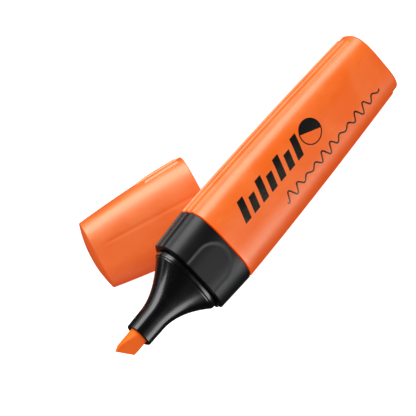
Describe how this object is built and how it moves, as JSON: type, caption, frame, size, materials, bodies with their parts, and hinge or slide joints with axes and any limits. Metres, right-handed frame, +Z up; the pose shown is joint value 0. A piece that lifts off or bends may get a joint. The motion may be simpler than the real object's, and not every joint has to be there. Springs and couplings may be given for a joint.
{
  "type": "highlighter",
  "caption": "Open flat-oval highlighter with slanted chisel nib, black collar and flared nose, leaning across its own ribbed cap, which slides away.",
  "frame": {"origin": "middle of the cap's lower flat, on the table", "axes": "+Z up from the table; +X along the cap from its closed end to its mouth, roughly towards the pen's tail"},
  "size_m": [0.1144, 0.0487, 0.0371],
  "materials": {
    "orange_plastic": "smooth moulded, soft gloss",
    "black_satin": "satin moulded grip",
    "black_gloss": "polished moulded",
    "felt_nib": "ink-soaked porous felt",
    "ink_fibre": "bonded polyester fibre",
    "clear_film": "thin polypropylene film",
    "natural_plastic": "natural polyethylene"
  },
  "bodies": {
    "pen": {"barrel": "orange_plastic", "grip_collar": "black_satin", "nose_cone": "black_gloss", "nib": "felt_nib", "reservoir_core": "ink_fibre", "reservoir_wrap": "clear_film"},
    "cap": {"cap_shell": "orange_plastic", "cap_liner": "natural_plastic"}
  },
  "joints": [
    {"name": "cap_pull", "type": "slide", "parent": "pen", "child": "cap", "axis": [-1, 0, 0], "range_m": [0, 0.055]}
  ]
}
